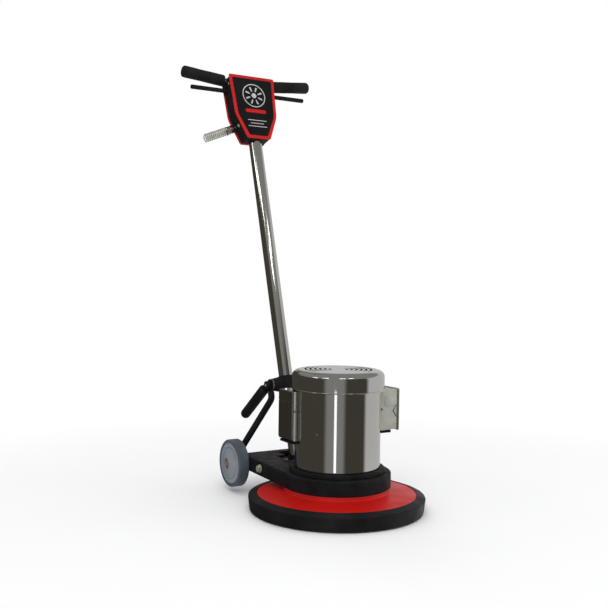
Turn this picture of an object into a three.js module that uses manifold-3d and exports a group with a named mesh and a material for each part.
// Rotary floor machine: a motor over a planetary drive turns a floor pad under a round
// splash deck, and a tilting chrome handle carries the switch box and the grips.
// Millimetres, +Z up. The spindle axis is Z, the floor is z = 0, the operator stands at +Y.

import * as THREE from 'three';
import { mergeVertices } from 'three/addons/utils/BufferGeometryUtils.js';
import Module from 'manifold-3d';

const wasm = await Module();
wasm.setup();

// ---------------------------------------------------------------- driving dimensions

const GAP = 0.3; // clearance between pieces that touch
const RUNNING_GAP = 0.7; // clearance where a many-sided shaft turns in a bearing
const ROUND = 36; // sides of a large turned piece
const SMALL_ROUND = 12; // sides of a small turned piece

// Deck
const BUMPER_R = 222;
const BUMPER_TOP = 36;
const DECK_R = 212;
const DECK_TOP = 42;
const DECK_STEP_R = 133;
const DECK_STEP_TOP = 61.5;
const DECK_HUB_HOLE_R = 34;
const DECK_SHEET = 3;
const PAD_R = 201;
const PAD_THICKNESS = 22;
const PAD_DRIVER_R = 190;

// Chassis
const CHASSIS_R = 135;
const CHASSIS_REAR_HALF = 125;
const CHASSIS_REAR_Y = 293;
const CHASSIS_BOTTOM = 62;
const CHASSIS_TOP = 99;
const CHASSIS_WALL = 7;

// Planetary drive: module and tooth counts, with the ring gear fixed to the chassis
const GEAR_MODULE = 2.4;
const SUN_TEETH = 9;
const PLANET_TEETH = 36;
const RING_TEETH = SUN_TEETH + 2 * PLANET_TEETH;
const PLANET_COUNT = 3;
const PLANET_ORBIT_R = (GEAR_MODULE * (SUN_TEETH + PLANET_TEETH)) / 2;
const GEAR_BOTTOM = 74;
const GEAR_TOP = 90;
const PLANET_PIN_R = 6;

// Motor
const SHELL_R = 107.3;
const SHELL_WALL = 2.5;
const SHELL_TOP = 318;
const FLANGE_R = 120;
const FLANGE_TOP = 109;
const CAP_R = 116.7;
const CAP_LIP = 301.3;
const CAP_TOP = 351;
const CAP_WALL = 3;
const KNOCKOUT_X = 127.5;
const SHAFT_R = 9;
const BEARING_R = 20;
const STACK_LOW = 180; // the stator's laminations
const STACK_HIGH = 240;

// Wheels
const WHEEL_R = 63.5;
const WHEEL_WIDTH = 31;
const WHEEL_RIM_R = 54.5;
const HUB_RISE = 8; // how far the domed hub stands out of the tyre
const WHEEL_INNER_X = 129.2;
const AXLE_R = 8;
const AXLE_Y = 288;
const AXLE_Z = 75.5;

// Handle: it leans back by LEAN, and its own frame has z along the tube and y to the back
const LEAN = THREE.MathUtils.degToRad(16.8);
const HANDLE_FOOT_Y = 174.7;
const TUBE_R = 19.05;
const TUBE_WALL = 2.5;
const TUBE_START = 85;
const TUBE_END = 1066;
const PIVOT = { y: 165, z: 82 };
const PIVOT_R = 7;
const COLLAR_AT = 297.7;

// Switch housing, on the handle's frame
const HOUSING = { top: 1215, waist: 1090, bottom: 1016, topHalf: 74, waistHalf: 68, bottomHalf: 37.5 };
const BAND_INSET = 1; // how far the housing's side band sits inside its plates' edges
const HOUSING_FRONT = -28;
const HOUSING_BACK = 25;
const PLATE = 2.5;
const BAR_CENTRE = 1195;
const BAR_RISE = THREE.MathUtils.degToRad(6.2);
const BAR_R = 9.5;
const BAR_BEND = 52;
const GRIP_R = 17;
const GRIP_IN = 80;
const GRIP_OUT = 208;
const ROD_R = 6.35;
const ROD_HALF = 186;
const ROD_AT = 1171.5;
const ROD_TRAVEL = 7;

// ---------------------------------------------------------------- materials

const material = (color, roughness, metalness) =>
  new THREE.MeshStandardMaterial({ color, roughness, metalness });

const chrome = material(0xb9b7ad, 0.08, 1);
const steel = material(0xa8a8a6, 0.35, 1);
const bronze = material(0x9c7d58, 0.4, 1);
const castIron = material(0x55565a, 0.6, 0.7);
const copper = material(0xa5562c, 0.45, 0.9);
const blackPaint = material(0x1d1e20, 0.55, 0.1);
const redPaint = material(0xb01408, 0.35, 0.1);
const redPlate = material(0xb81616, 0.35, 0.1);
const boxPaint = material(0xbdb9a8, 0.3, 0.7);
const blackRubber = material(0x141414, 0.75, 0);
const tyreRubber = material(0x55606b, 0.65, 0);
const wheelPlastic = material(0x7b858f, 0.5, 0);
const darkPlastic = material(0x202022, 0.5, 0);
const padFibre = material(0x7c1512, 0.95, 0);
const labelFace = material(0x0b0b0c, 0.25, 0);

// ---------------------------------------------------------------- geometry helpers

// One closed shell: shared corners are merged, empty triangles go, and faces point out.
function closed(geometry) {
  const source = geometry.clone();
  source.deleteAttribute('normal');
  source.deleteAttribute('uv');
  const merged = mergeVertices(source, 1e-3);
  const at = merged.getAttribute('position');
  const corners = merged.getIndex().array;
  const faces = [];
  let volume = 0;
  const [p, q, r] = [new THREE.Vector3(), new THREE.Vector3(), new THREE.Vector3()];
  for (let i = 0; i < corners.length; i += 3) {
    const [a, b, c] = [corners[i], corners[i + 1], corners[i + 2]];
    if (a === b || b === c || c === a) continue;
    faces.push([a, b, c]);
    p.fromBufferAttribute(at, a);
    q.fromBufferAttribute(at, b);
    r.fromBufferAttribute(at, c);
    volume += p.dot(q.cross(r));
  }
  if (volume < 0) faces.forEach((face) => face.reverse());
  merged.setIndex(faces.flat());
  merged.computeVertexNormals();
  return merged;
}

function toSolid(geometry) {
  const shell = closed(geometry);
  const vertProperties = new Float32Array(shell.getAttribute('position').array);
  const triVerts = new Uint32Array(shell.getIndex().array);
  return new wasm.Manifold(new wasm.Mesh({ numProp: 3, vertProperties, triVerts }));
}

function toGeometry(solid) {
  const { vertProperties, triVerts } = solid.getMesh();
  const geometry = new THREE.BufferGeometry();
  geometry.setAttribute('position', new THREE.BufferAttribute(vertProperties, 3));
  geometry.setIndex(new THREE.BufferAttribute(triVerts, 1));
  return geometry;
}

const join = (...pieces) => toGeometry(pieces.map(toSolid).reduce((a, b) => a.add(b)));

const cut = (body, ...tools) => toGeometry(tools.map(toSolid).reduce((a, b) => a.subtract(b), toSolid(body)));

// A turned piece about Z from [radius, height] points.
function turned(points, sides = ROUND) {
  const profile = points.map(([radius, height]) => new THREE.Vector2(radius, height));
  return new THREE.LatheGeometry(profile, sides).rotateX(Math.PI / 2);
}

// A flat ring about Z.
const ring = (inner, outer, low, high, sides = ROUND) =>
  turned([[inner, low], [outer, low], [outer, high], [inner, high], [inner, low]], sides);

const disc = (radius, low, high, sides = ROUND) =>
  turned([[0, low], [radius, low], [radius, high], [0, high]], sides);

// Places a piece that was made along Z so that its base is at one point and it runs to another.
function along(geometry, from, to) {
  const start = new THREE.Vector3(...from);
  const direction = new THREE.Vector3(...to).sub(start).normalize();
  const turn = new THREE.Quaternion().setFromUnitVectors(new THREE.Vector3(0, 0, 1), direction);
  return geometry.applyQuaternion(turn).translate(start.x, start.y, start.z);
}

const distance = (from, to) => new THREE.Vector3(...from).distanceTo(new THREE.Vector3(...to));

// A round bar between two points.
const bar = (from, to, radius, sides = SMALL_ROUND) =>
  along(disc(radius, 0, distance(from, to), sides), from, to);

// A tube between two points.
const pipe = (from, to, inner, outer, sides = SMALL_ROUND) =>
  along(ring(inner, outer, 0, distance(from, to), sides), from, to);

// A block between its low and high corners.
function block([x0, y0, z0], [x1, y1, z1]) {
  const geometry = new THREE.BoxGeometry(x1 - x0, y1 - y0, z1 - z0);
  return geometry.translate((x0 + x1) / 2, (y0 + y1) / 2, (z0 + z1) / 2);
}

// Points on an arc about (cx, cy).
function arc(cx, cy, radius, from, to, steps) {
  return Array.from({ length: steps + 1 }, (_, i) => {
    const angle = from + ((to - from) * i) / steps;
    return [cx + radius * Math.cos(angle), cy + radius * Math.sin(angle)];
  });
}

// A plate in the XY plane from an outline of [x, y] points.
function plate(outline, low, high, bevel = 0) {
  const shape = new THREE.Shape(outline.map(([x, y]) => new THREE.Vector2(x, y)));
  const geometry = new THREE.ExtrudeGeometry(shape, {
    depth: high - low - 2 * bevel,
    bevelEnabled: bevel > 0,
    bevelSize: bevel,
    bevelThickness: bevel,
    bevelOffset: -bevel,
    bevelSegments: 2,
  });
  return geometry.translate(0, 0, low + bevel);
}

// Turns a plate from the XY plane to face along Y: x stays, its y becomes z.
const standUp = (geometry) => geometry.rotateX(Math.PI / 2);

const mirrored = (outline) => [...outline, ...outline.map(([x, y]) => [-x, y]).reverse()];

const machine = new THREE.Group();
const handle = new THREE.Group();
handle.position.set(0, HANDLE_FOOT_Y, 0);
handle.rotation.x = -LEAN;
machine.add(handle);

function add(name, geometry, look, parent = machine) {
  const mesh = new THREE.Mesh(closed(geometry), look);
  mesh.name = name;
  parent.add(mesh);
  return mesh;
}

const SIDES = [['left', -1], ['right', 1]];

// ---------------------------------------------------------------- deck, bumper and pad

function addDeck() {
  const lip = DECK_TOP - 7.7;
  add('bumper_ring', turned([
    [199.5, lip], [199.5, 42.4], [201, 43.2], [BUMPER_R - 2, BUMPER_TOP + 0.8],
    [BUMPER_R, BUMPER_TOP - 1.2], [217.6, 3.5], [215.5, 1.5], [207, 1.5], [205.8, 3],
    [205.8, 11.7], [212.3, 11.7], [212.3, lip], [199.5, lip],
  ]), blackRubber);
  add('splash_deck', turned([
    [DECK_HUB_HOLE_R, DECK_STEP_TOP - DECK_SHEET], [DECK_HUB_HOLE_R, DECK_STEP_TOP],
    [DECK_STEP_R - 3, DECK_STEP_TOP], [DECK_STEP_R, DECK_STEP_TOP - 2],
    [DECK_STEP_R + 1, 52], [198.8, DECK_TOP], [199.2, 33.6], [DECK_R, 33.6],
    [DECK_R, 12], [DECK_R - DECK_SHEET, 12], [DECK_R - DECK_SHEET, 30.6], [196, 30.6],
    [196, DECK_TOP - DECK_SHEET + 0.4], [DECK_STEP_R - 2, 49], [DECK_STEP_R - 3.2, 58],
    [DECK_HUB_HOLE_R, DECK_STEP_TOP - DECK_SHEET],
  ]), redPaint);
}

function addPad() {
  add('floor_pad', turned([
    [0, 0], [PAD_R - 1.5, 0], [PAD_R, 2], [PAD_R, PAD_THICKNESS - 1.5],
    [PAD_R - 1.5, PAD_THICKNESS], [0, PAD_THICKNESS],
  ]), padFibre);
  add('pad_driver', turned([
    [0, PAD_THICKNESS + GAP], [PAD_DRIVER_R, PAD_THICKNESS + GAP], [PAD_DRIVER_R, 29],
    [60, 33], [55, 40], [0, 40],
  ]), darkPlastic);
}

// ---------------------------------------------------------------- chassis

function chassisOutline(inset) {
  const front = arc(0, 0, CHASSIS_R - inset, Math.PI, 2 * Math.PI, 24);
  const corner = 12 - inset * 0.5;
  const side = CHASSIS_REAR_HALF - inset - corner;
  const rear = CHASSIS_REAR_Y - inset - corner;
  return [
    ...front,
    ...arc(side, rear, corner, 0, Math.PI / 2, 4),
    ...arc(-side, rear, corner, Math.PI / 2, Math.PI, 4),
  ];
}

function addChassis() {
  const edge = 5;
  const shell = plate(chassisOutline(0), CHASSIS_BOTTOM - 10, CHASSIS_TOP, edge);
  const below = block([-200, -200, 0], [200, 400, CHASSIS_BOTTOM]);
  const inside = plate(chassisOutline(CHASSIS_WALL), CHASSIS_BOTTOM - 20, CHASSIS_TOP - CHASSIS_WALL);
  const motorHole = disc(40, 80, 120, 32);
  const yokeWell = block([-56, 148, 80], [56, 216, 120]);
  const tubeSlot = block([-27, 138, 80], [27, 262, 120]);
  const axleHole = bar([-200, AXLE_Y, AXLE_Z], [200, AXLE_Y, AXLE_Z], AXLE_R + GAP);
  const pivotHole = bar([-200, PIVOT.y, PIVOT.z], [200, PIVOT.y, PIVOT.z], PIVOT_R + GAP);
  add('chassis_housing',
    cut(shell, below, inside, motorHole, yokeWell, tubeSlot, axleHole, pivotHole), blackPaint);

  // The cross bolt that the handle turns on, with a washer face under its head and its nut
  const wall = 130.6;
  const across = (from, to, radius, sides) =>
    bar([from, PIVOT.y, PIVOT.z], [to, PIVOT.y, PIVOT.z], radius, sides);
  add('pivot_bolt', join(
    across(-wall - 2, wall + 11, PIVOT_R),
    across(-wall - 2, -wall, 11),
    across(-wall - 8, -wall - 2, 9, 6),
  ), bronze);
  const nut = join(across(wall, wall + 2, 11), across(wall + 2, wall + 8, 9.5, 6));
  add('pivot_nut', cut(nut, across(wall - 10, wall + 20, PIVOT_R + GAP)), bronze);
}

// ---------------------------------------------------------------- planetary drive

// The outline of a gear with straight-sided teeth, the first tooth at the start angle.
function gearOutline(teeth, start, addendum, dedendum, slack) {
  const pitchR = (GEAR_MODULE * teeth) / 2;
  const halfPitch = (GEAR_MODULE * Math.PI) / 4 - slack;
  const slope = Math.tan(THREE.MathUtils.degToRad(20));
  const tip = pitchR + addendum * GEAR_MODULE;
  const root = pitchR - dedendum * GEAR_MODULE;
  const tipHalf = (halfPitch - addendum * GEAR_MODULE * slope) / tip;
  const rootHalf = (halfPitch + dedendum * GEAR_MODULE * slope) / root;
  const points = [];
  for (let i = 0; i < teeth; i += 1) {
    const middle = start + (i * 2 * Math.PI) / teeth;
    const corners = [[root, -rootHalf], [tip, -tipHalf], [tip, tipHalf], [root, rootHalf]];
    corners.forEach(([r, offset]) => {
      points.push([r * Math.cos(middle + offset), r * Math.sin(middle + offset)]);
    });
  }
  return points;
}

function addDrive() {
  // The ring's tooth spaces are a gear outline cut from a plain ring, half a pitch round
  const ringSpaces = gearOutline(RING_TEETH, Math.PI / RING_TEETH, 1.15, 0.85, -0.35);
  add('ring_gear', cut(disc(112, GEAR_BOTTOM, GEAR_TOP), plate(ringSpaces, 60, 100)), castIron);

  const sun = plate(gearOutline(SUN_TEETH, 0, 0.68, 1.15, 0.55), GEAR_BOTTOM, GEAR_TOP);
  add('sun_gear', cut(sun, disc(5 + GAP, 60, 100, 12)), steel);

  const planetStart = Math.PI / PLANET_TEETH;
  const planetBlank = plate(gearOutline(PLANET_TEETH, planetStart, 0.85, 1.1, 0.35), GEAR_BOTTOM, GEAR_TOP);
  const planet = cut(planetBlank, disc(PLANET_PIN_R + GAP, 60, 100, 12));
  const pins = [];
  for (let i = 0; i < PLANET_COUNT; i += 1) {
    const angle = (i * 2 * Math.PI) / PLANET_COUNT;
    const centre = [PLANET_ORBIT_R * Math.cos(angle), PLANET_ORBIT_R * Math.sin(angle)];
    add(`planet_gear_${i + 1}`, planet.clone().rotateZ(angle).translate(...centre, 0), steel);
    pins.push(bar([...centre, 70], [...centre, GEAR_TOP - 0.5], PLANET_PIN_R, 12));
  }
  const hub = turned([
    [0, 40 + GAP], [28, 40 + GAP], [28, 64.5], [72, 64.5], [72, 72], [0, 72],
  ], 32);
  add('planet_carrier', join(hub, ...pins), castIron);
}

// ---------------------------------------------------------------- motor

function capProfile() {
  const roundStart = 335;
  const flatR = 96;
  const shoulder = (outerR, top) => Array.from({ length: 5 }, (_, i) => {
    const angle = (i * Math.PI) / 8;
    const across = outerR - flatR;
    return [outerR - across * (1 - Math.cos(angle)), roundStart + (top - roundStart) * Math.sin(angle)];
  });
  const innerR = CAP_R - CAP_WALL;
  return [
    [0, CAP_TOP], ...shoulder(CAP_R, CAP_TOP).reverse(), [CAP_R, CAP_LIP], [innerR, CAP_LIP],
    [innerR, SHELL_TOP + GAP], [SHELL_R - SHELL_WALL, SHELL_TOP + GAP],
    [SHELL_R - SHELL_WALL, SHELL_TOP + 3], [innerR, SHELL_TOP + 3],
    ...shoulder(innerR, CAP_TOP - CAP_WALL), [0, CAP_TOP - CAP_WALL],
  ];
}

// The cooling vents are two groups of concentric arc slots, left and right of a plain middle.
function ventSlots() {
  const slots = [];
  const halfSpan = THREE.MathUtils.degToRad(38);
  const middle = THREE.MathUtils.degToRad(-24);
  const width = 5;
  for (let radius = 20; radius <= 80; radius += 12) {
    for (const facing of [middle, middle + Math.PI]) {
      const from = facing - halfSpan;
      const to = facing + halfSpan;
      const outline = [
        ...arc(0, 0, radius + width, from, to, 4),
        ...arc(0, 0, radius, to, from, 4),
      ];
      slots.push(plate(outline, CAP_TOP - 10, CAP_TOP + 5));
    }
  }
  return slots;
}

function addMotor() {
  add('motor_flange', turned([
    [41, CHASSIS_TOP + GAP], [FLANGE_R, CHASSIS_TOP + GAP], [FLANGE_R, FLANGE_TOP - 2],
    [FLANGE_R - 2, FLANGE_TOP], [41, FLANGE_TOP], [41, CHASSIS_TOP + GAP],
  ]), blackPaint);
  const innerR = SHELL_R - SHELL_WALL;
  const base = FLANGE_TOP + GAP;
  add('motor_shell', turned([
    [BEARING_R + GAP, base], [SHELL_R, base], [SHELL_R, SHELL_TOP], [innerR, SHELL_TOP],
    [innerR, base + 6], [BEARING_R + GAP, base + 6], [BEARING_R + GAP, base],
  ]), chrome);
  add('motor_cap', cut(turned(capProfile()), ...ventSlots()), chrome);
  add('upper_end_bell', ring(BEARING_R + GAP, innerR - 1, 298, 306, 24), castIron);
  add('lower_bearing', ring(SHAFT_R + RUNNING_GAP, BEARING_R, base, base + 8, SMALL_ROUND), steel);
  add('upper_bearing', ring(SHAFT_R + RUNNING_GAP, BEARING_R, 298, 307, SMALL_ROUND), steel);
  add('stator_core', ring(62, innerR - 1, STACK_LOW, STACK_HIGH, 24), castIron);
  add('stator_winding_lower', ring(70, 94, STACK_LOW - 22, STACK_LOW - GAP, 24), copper);
  add('stator_winding_upper', ring(70, 94, STACK_HIGH + GAP, STACK_HIGH + 22, 24), copper);
  add('rotor_core', ring(SHAFT_R + GAP, 61, STACK_LOW + 2, STACK_HIGH - 2, 24), castIron);
  add('motor_shaft', turned([
    [0, 74], [5, 74], [5, 92], [SHAFT_R, 92], [SHAFT_R, 342], [0, 342],
  ], SMALL_ROUND), steel);
  const fanHub = ring(SHAFT_R + GAP, 26, 324, 342, SMALL_ROUND);
  const blades = Array.from({ length: 6 }, (_, i) =>
    block([22, -2, 326], [90, 2, 341]).rotateZ((i * Math.PI) / 3));
  add('cooling_fan', join(fanHub, ...blades), darkPlastic);
}

// The capacitor cover is a chrome shell on the left of the motor, open towards it.
function addCapacitor() {
  const outline = (inset) => [
    [-55, 175 + inset], [-113, 174 + inset], [-119, 175.5 + inset], [-122 + inset, 181 + inset],
    [-122 + inset, 296 - inset], [-119 + inset, 299.5 - inset], [-55, 299.5 - inset],
  ];
  const front = 17.5;
  const back = 87;
  const wall = 2;
  const shell = standUp(plate(outline(0), -back, -front));
  const inside = standUp(plate(outline(wall), -back + wall, -front - wall));
  add('capacitor_cover', cut(shell, inside, disc(SHELL_R + GAP, 100, 400)), chrome);
  add('start_capacitor', bar([-111, 50, 205], [-111, 50, 262], 6.5, 16), darkPlastic);
}

function addJunctionBox() {
  const halfWidth = 40;
  const outerX = 158;
  const wall = 2;
  const outline = (inset) => [
    [90, 194 + inset], [outerX, 196 + inset], [outerX, 296 - inset], [90, 304 - inset],
  ];
  const shell = standUp(plate(outline(0), -halfWidth, halfWidth));
  const inside = standUp(plate(outline(wall), -halfWidth + wall, halfWidth - wall));
  const mouth = block([outerX - 5, -halfWidth + wall, 198], [outerX + 5, halfWidth - wall, 294]);
  const knockout = bar([KNOCKOUT_X, -60, 269], [KNOCKOUT_X, -20, 269], 12);
  const notch = standUp(plate([
    [outerX - 12, 243], [outerX - 3, 257], [outerX - 1.4, 257], [outerX - 10, 243], [outerX - 1.4, 229],
    [outerX - 3, 229],
  ], 30, 50));
  const motorSide = join(disc(SHELL_R + GAP, 100, 400), disc(CAP_R + GAP, CAP_LIP - GAP, 400));
  add('junction_box', cut(shell, inside, mouth, knockout, notch, motorSide), boxPaint);
  add('knockout_plug', join(
    bar([KNOCKOUT_X, -halfWidth - 1.6, 269], [KNOCKOUT_X, -halfWidth - GAP, 269], 14),
    bar([KNOCKOUT_X, -halfWidth - 1, 269], [KNOCKOUT_X, -halfWidth + 5, 269], 11.5),
  ), boxPaint);
  add('junction_box_cover', block([outerX + GAP, -halfWidth - 1, 192], [outerX + 3, halfWidth + 1, 300]), boxPaint);
  add('terminal_block', block([128, -22, 225], [144, 22, 262]), darkPlastic);
}

// ---------------------------------------------------------------- wheels and axle

function addWheels() {
  const axleEnd = WHEEL_INNER_X + WHEEL_WIDTH + HUB_RISE - 0.5;
  add('wheel_axle', bar([-axleEnd, AXLE_Y, AXLE_Z], [axleEnd, AXLE_Y, AXLE_Z], AXLE_R), steel);
  const inner = WHEEL_INNER_X;
  const outer = WHEEL_INNER_X + WHEEL_WIDTH;
  for (const [side, sign] of SIDES) {
    const place = (geometry) =>
      geometry.rotateY((sign * Math.PI) / 2).translate(0, AXLE_Y, AXLE_Z);
    add(`wheel_tyre_${side}`, place(turned([
      [WHEEL_RIM_R, inner + 4], [WHEEL_RIM_R, inner + 1], [61, inner], [WHEEL_R, inner + 2.5],
      [WHEEL_R, outer - 2.5], [61, outer], [WHEEL_RIM_R, outer - 1], [WHEEL_RIM_R, inner + 4],
    ], 24)), tyreRubber);
    add(`wheel_hub_${side}`, place(turned([
      [AXLE_R + GAP, inner + 1], [18, inner + 1], [20, inner + 6], [WHEEL_RIM_R - GAP, inner + 6],
      [WHEEL_RIM_R - GAP, outer - 1.5], [44, outer - 0.5], [18, outer + HUB_RISE - 1.5],
      [13.5, outer + HUB_RISE], [13.5, outer], [AXLE_R + GAP, outer], [AXLE_R + GAP, inner + 1],
    ], 24)), wheelPlastic);
    const nut = cut(
      disc(11.5, outer + GAP, outer + HUB_RISE - 1.8, 6),
      disc(AXLE_R + GAP, inner, outer + 9, SMALL_ROUND),
    );
    add(`axle_nut_${side}`, place(nut), bronze);
  }
}

// ---------------------------------------------------------------- handle, collar and braces

// The pivot and the collar's pins, in the handle's own frame
const toHandle = (y, z) => {
  const point = new THREE.Vector3(0, y - HANDLE_FOOT_Y, z).applyAxisAngle(new THREE.Vector3(1, 0, 0), LEAN);
  return [point.y, point.z];
};
const PIN_R = 4;
const STUB_HALF = 47;
const EYE_INNER_X = 49.1;
const EYE_OUTER_X = 54.1;
const LEVER_X = -60.5; // the middle of the lever's hub

function addHandleTube() {
  const [pivotY, pivotZ] = toHandle(PIVOT.y, PIVOT.z);
  const boss = bar([-25, pivotY, pivotZ], [25, pivotY, pivotZ], 14);
  const arm = block([-11, pivotY, pivotZ - 9], [11, 0, pivotZ + 12]);
  const cup = disc(23, TUBE_START - 6, TUBE_START + 17, 24);
  const bore = disc(TUBE_R + GAP, TUBE_START - GAP, TUBE_START + 40, 24);
  const pinHole = bar([-60, pivotY, pivotZ], [60, pivotY, pivotZ], PIVOT_R + GAP);
  add('handle_yoke', cut(join(boss, arm, cup), bore, pinHole), blackPaint, handle);
  add('handle_tube', ring(TUBE_R - TUBE_WALL, TUBE_R, TUBE_START, TUBE_END, 24), chrome, handle);
}

function addCollar() {
  const taper = [[0, 0], [21.5, 0], [21.5, 20], [16.5, STUB_HALF], [0, STUB_HALF]];
  const stubs = SIDES.map(([, sign]) => along(turned(taper, 20), [0, 0, COLLAR_AT], [sign, 0, COLLAR_AT]));
  const pins = bar([LEVER_X - 6.5, 0, COLLAR_AT], [EYE_OUTER_X + 7, 0, COLLAR_AT], PIN_R, 12);
  const nut = bar([EYE_OUTER_X + GAP, 0, COLLAR_AT], [EYE_OUTER_X + 7, 0, COLLAR_AT], 8, 6);
  const sleeve = turned([
    [0, COLLAR_AT - 19], [23, COLLAR_AT - 19], [24.5, COLLAR_AT - 17], [24.5, COLLAR_AT + 20],
    [23, COLLAR_AT + 22], [0, COLLAR_AT + 22],
  ], 24);
  const bore = disc(TUBE_R + 0.5, COLLAR_AT - 60, COLLAR_AT + 60, 24);
  add('clamp_collar', cut(join(...stubs, pins, nut, sleeve), bore), blackPaint, handle);
  for (const [side, sign] of SIDES) {
    const from = [sign * (STUB_HALF + GAP), 0, COLLAR_AT];
    const to = [sign * (EYE_INNER_X - GAP), 0, COLLAR_AT];
    add(`collar_washer_${side}`, pipe(from, to, PIN_R + GAP, 16, 16), steel, handle);
  }
}

function addLockLever() {
  const tip = [LEVER_X, 396, 184];
  const [tipY, tipZ] = toHandle(tip[1], tip[2]);
  const start = [LEVER_X, 0, COLLAR_AT];
  const end = [tip[0], tipY, tipZ];
  const hub = bar([LEVER_X - 6, 0, COLLAR_AT], [LEVER_X + 6, 0, COLLAR_AT], 11);
  const rod = bar(start, end, 5.5, 12);
  const hole = bar([-100, 0, COLLAR_AT], [-50, 0, COLLAR_AT], PIN_R + GAP, 12);
  add('lock_lever', cut(join(hub, rod), hole), blackPaint, handle);
  const grip = turned([
    [5.5 + GAP, 19], [11, 19], [14, 22], [14, 162], [11, 167], [5.5 + GAP, 168], [5.5 + GAP, 19],
  ], SMALL_ROUND);
  add('lever_grip', along(grip, start, end), blackRubber, handle);
}

// Each brace runs from an open eye round the collar's pin down to an eye on the wheel axle.
function addBraces() {
  const pinY = HANDLE_FOOT_Y + COLLAR_AT * Math.sin(LEAN);
  const pinZ = COLLAR_AT * Math.cos(LEAN);
  const rodR = 9;
  for (const [side, sign] of SIDES) {
    const eyeX = [sign * EYE_INNER_X, sign * EYE_OUTER_X];
    const bend = [sign * 51.6, pinY - 9, pinZ - 36];
    const foot = [sign * 117, 298, 112];
    const eye = bar([eyeX[0], pinY, pinZ], [eyeX[1], pinY, pinZ], 16, 16);
    const hole = bar([0, pinY, pinZ], [sign * 90, pinY, pinZ], 8.3, 16);
    const neck = bar([sign * 51.6, pinY - 2.5, pinZ - 10], bend, 2.4, 8);
    const leg = bar(bend, foot, rodR, 12);
    const tang = block([sign * 127.1 - 1.5, AXLE_Y - 6, AXLE_Z], [sign * 127.1 + 1.5, AXLE_Y + 18, 115]);
    const lowEye = bar([sign * 125.6, AXLE_Y, AXLE_Z], [sign * 128.6, AXLE_Y, AXLE_Z], 14);
    const shoulder = new THREE.SphereGeometry(rodR, 8, 6).translate(...foot);
    const lowHole = bar([sign * 100, AXLE_Y, AXLE_Z], [sign * 150, AXLE_Y, AXLE_Z], AXLE_R + GAP);
    const elbow = new THREE.SphereGeometry(rodR, 8, 6).translate(...bend);
    const body = join(eye, neck, elbow, leg, shoulder, tang, lowEye);
    add(`brace_${side}`, cut(body, hole, lowHole), blackPaint);
  }
}

// ---------------------------------------------------------------- switch housing

function housingOutline(inset, chamfer) {
  const { top, waist, bottom, topHalf, waistHalf, bottomHalf } = HOUSING;
  return mirrored([
    [bottomHalf - inset * 0.8, bottom + inset], [waistHalf - inset, waist],
    [topHalf - inset, top - inset - chamfer], [topHalf - inset - chamfer, top - inset],
  ]);
}

// The lower left slant of the housing, where the cable comes out
const GLAND_FROM = new THREE.Vector3(-55.3, 8, 1058.9);
const SLANT = Math.atan2(HOUSING.waistHalf - HOUSING.bottomHalf, HOUSING.waist - HOUSING.bottom);
const GLAND_DIRECTION = new THREE.Vector3(-Math.cos(SLANT), 0, -Math.sin(SLANT));
const glandPoint = (along) => GLAND_FROM.clone().addScaledVector(GLAND_DIRECTION, along).toArray();

function barPoint(x) {
  return [x, 0, BAR_CENTRE + Math.abs(x) * Math.tan(BAR_RISE)];
}

function addHousing() {
  const face = (outline, low, high, bevel) => standUp(plate(outline, -high, -low, bevel));
  const front = HOUSING_FRONT;
  const back = HOUSING_BACK;
  add('housing_front_plate', face(housingOutline(0, 3), front, front + PLATE, 0), redPlate, handle);
  add('label_plate', face(housingOutline(10, 3), front - 0.9, front - GAP, 0), labelFace, handle);
  add('housing_back_plate', face(housingOutline(0, 3), back - PLATE, back, 0), redPlate, handle);

  const bandFront = front + PLATE + GAP;
  const bandBack = back - PLATE - GAP;
  const wall = 3;
  const cuts = [
    face(housingOutline(BAND_INSET + wall, 7), bandFront - 5, bandBack + 5, 0),
    disc(TUBE_R + GAP, 1000, 1040, 24),
    bar(glandPoint(-20), glandPoint(20), 8 + GAP, 16),
  ];
  for (const [, sign] of SIDES) {
    cuts.push(bar(barPoint(sign * (BAR_BEND - 3)), barPoint(sign * 100), BAR_R + GAP));
    const low = [sign * 70 - 8, -7, ROD_AT - 8];
    const high = [sign * 70 + 8, 7, ROD_AT + ROD_TRAVEL + 7];
    cuts.push(block(low, high));
  }
  const band = face(housingOutline(BAND_INSET, 8), bandFront, bandBack, 0);
  add('housing_side_band', cut(band, ...cuts), blackPaint, handle);
}

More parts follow.
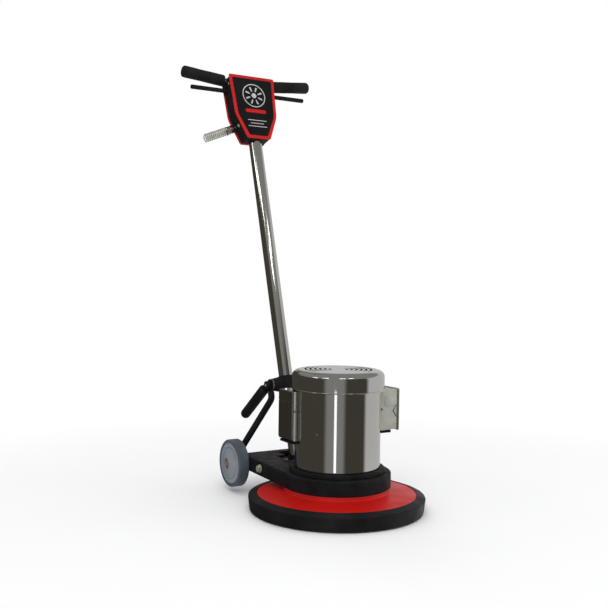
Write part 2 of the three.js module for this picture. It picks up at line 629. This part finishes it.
function addHandlebar() {
  const middle = bar([-BAR_BEND - 4, 0, BAR_CENTRE], [BAR_BEND + 4, 0, BAR_CENTRE], BAR_R - 0.5);
  const arms = SIDES.map(([, sign]) => bar(barPoint(sign * BAR_BEND), barPoint(sign * (GRIP_OUT - 8)), BAR_R));
  add('handlebar', join(middle, ...arms), steel, handle);
  for (const [side, sign] of SIDES) {
    const length = distance(barPoint(GRIP_IN), barPoint(GRIP_OUT));
    const grip = turned([
      [BAR_R + GAP, 0], [GRIP_R - 1.5, 0], [GRIP_R, 1.5], [GRIP_R, length - 6],
      [GRIP_R - 2, length - 2], [GRIP_R - 6, length], [0, length], [0, length - 7],
      [BAR_R + GAP, length - 7], [BAR_R + GAP, 0],
    ], 20);
    add(`grip_${side}`, along(grip, barPoint(sign * GRIP_IN), barPoint(sign * GRIP_OUT)), blackRubber, handle);
  }
  // A saddle inside the housing holds the bar and the top of the tube together
  const saddle = block([-24, -16, 1044], [24, 16, 1088]);
  const socket = disc(TUBE_R + GAP, 1000, TUBE_END + GAP, 24);
  add('tube_saddle', cut(saddle, socket), castIron, handle);
}

function addSwitch() {
  const rodAt = (x) => [x, 0, ROD_AT];
  const rod = bar(rodAt(-ROD_HALF), rodAt(ROD_HALF), ROD_R, 16);
  const paddle = block([-12, -3, ROD_AT - 26], [12, 3, ROD_AT]);
  add('switch_lever', join(rod, paddle), blackPaint, handle);
  const body = block([-18, 5, ROD_AT - 46], [18, 20, ROD_AT - 12]);
  const plunger = bar([0, 8, ROD_AT - 20], [0, 3.3, ROD_AT - 20], 3, 10);
  add('micro_switch', join(body, plunger), darkPlastic, handle);
}

function addCableExit() {
  const gland = along(turned([
    [6.5, -8], [8, -8], [8, 4], [12, 4], [12, 30], [12.5, 31], [12.5, 34], [6.5, 34], [6.5, -8],
  ], 16), glandPoint(0), glandPoint(1));
  add('strain_relief_gland', gland, steel, handle);
  add('strain_relief_spring', pipe(glandPoint(34 + GAP), glandPoint(112), 7, 12.5, 16), chrome, handle);
}

addDeck();
addPad();
addChassis();
addDrive();
addMotor();
addCapacitor();
addJunctionBox();
addWheels();
addHandleTube();
addCollar();
addLockLever();
addBraces();
addHousing();
addHandlebar();
addSwitch();
addCableExit();

export default machine;
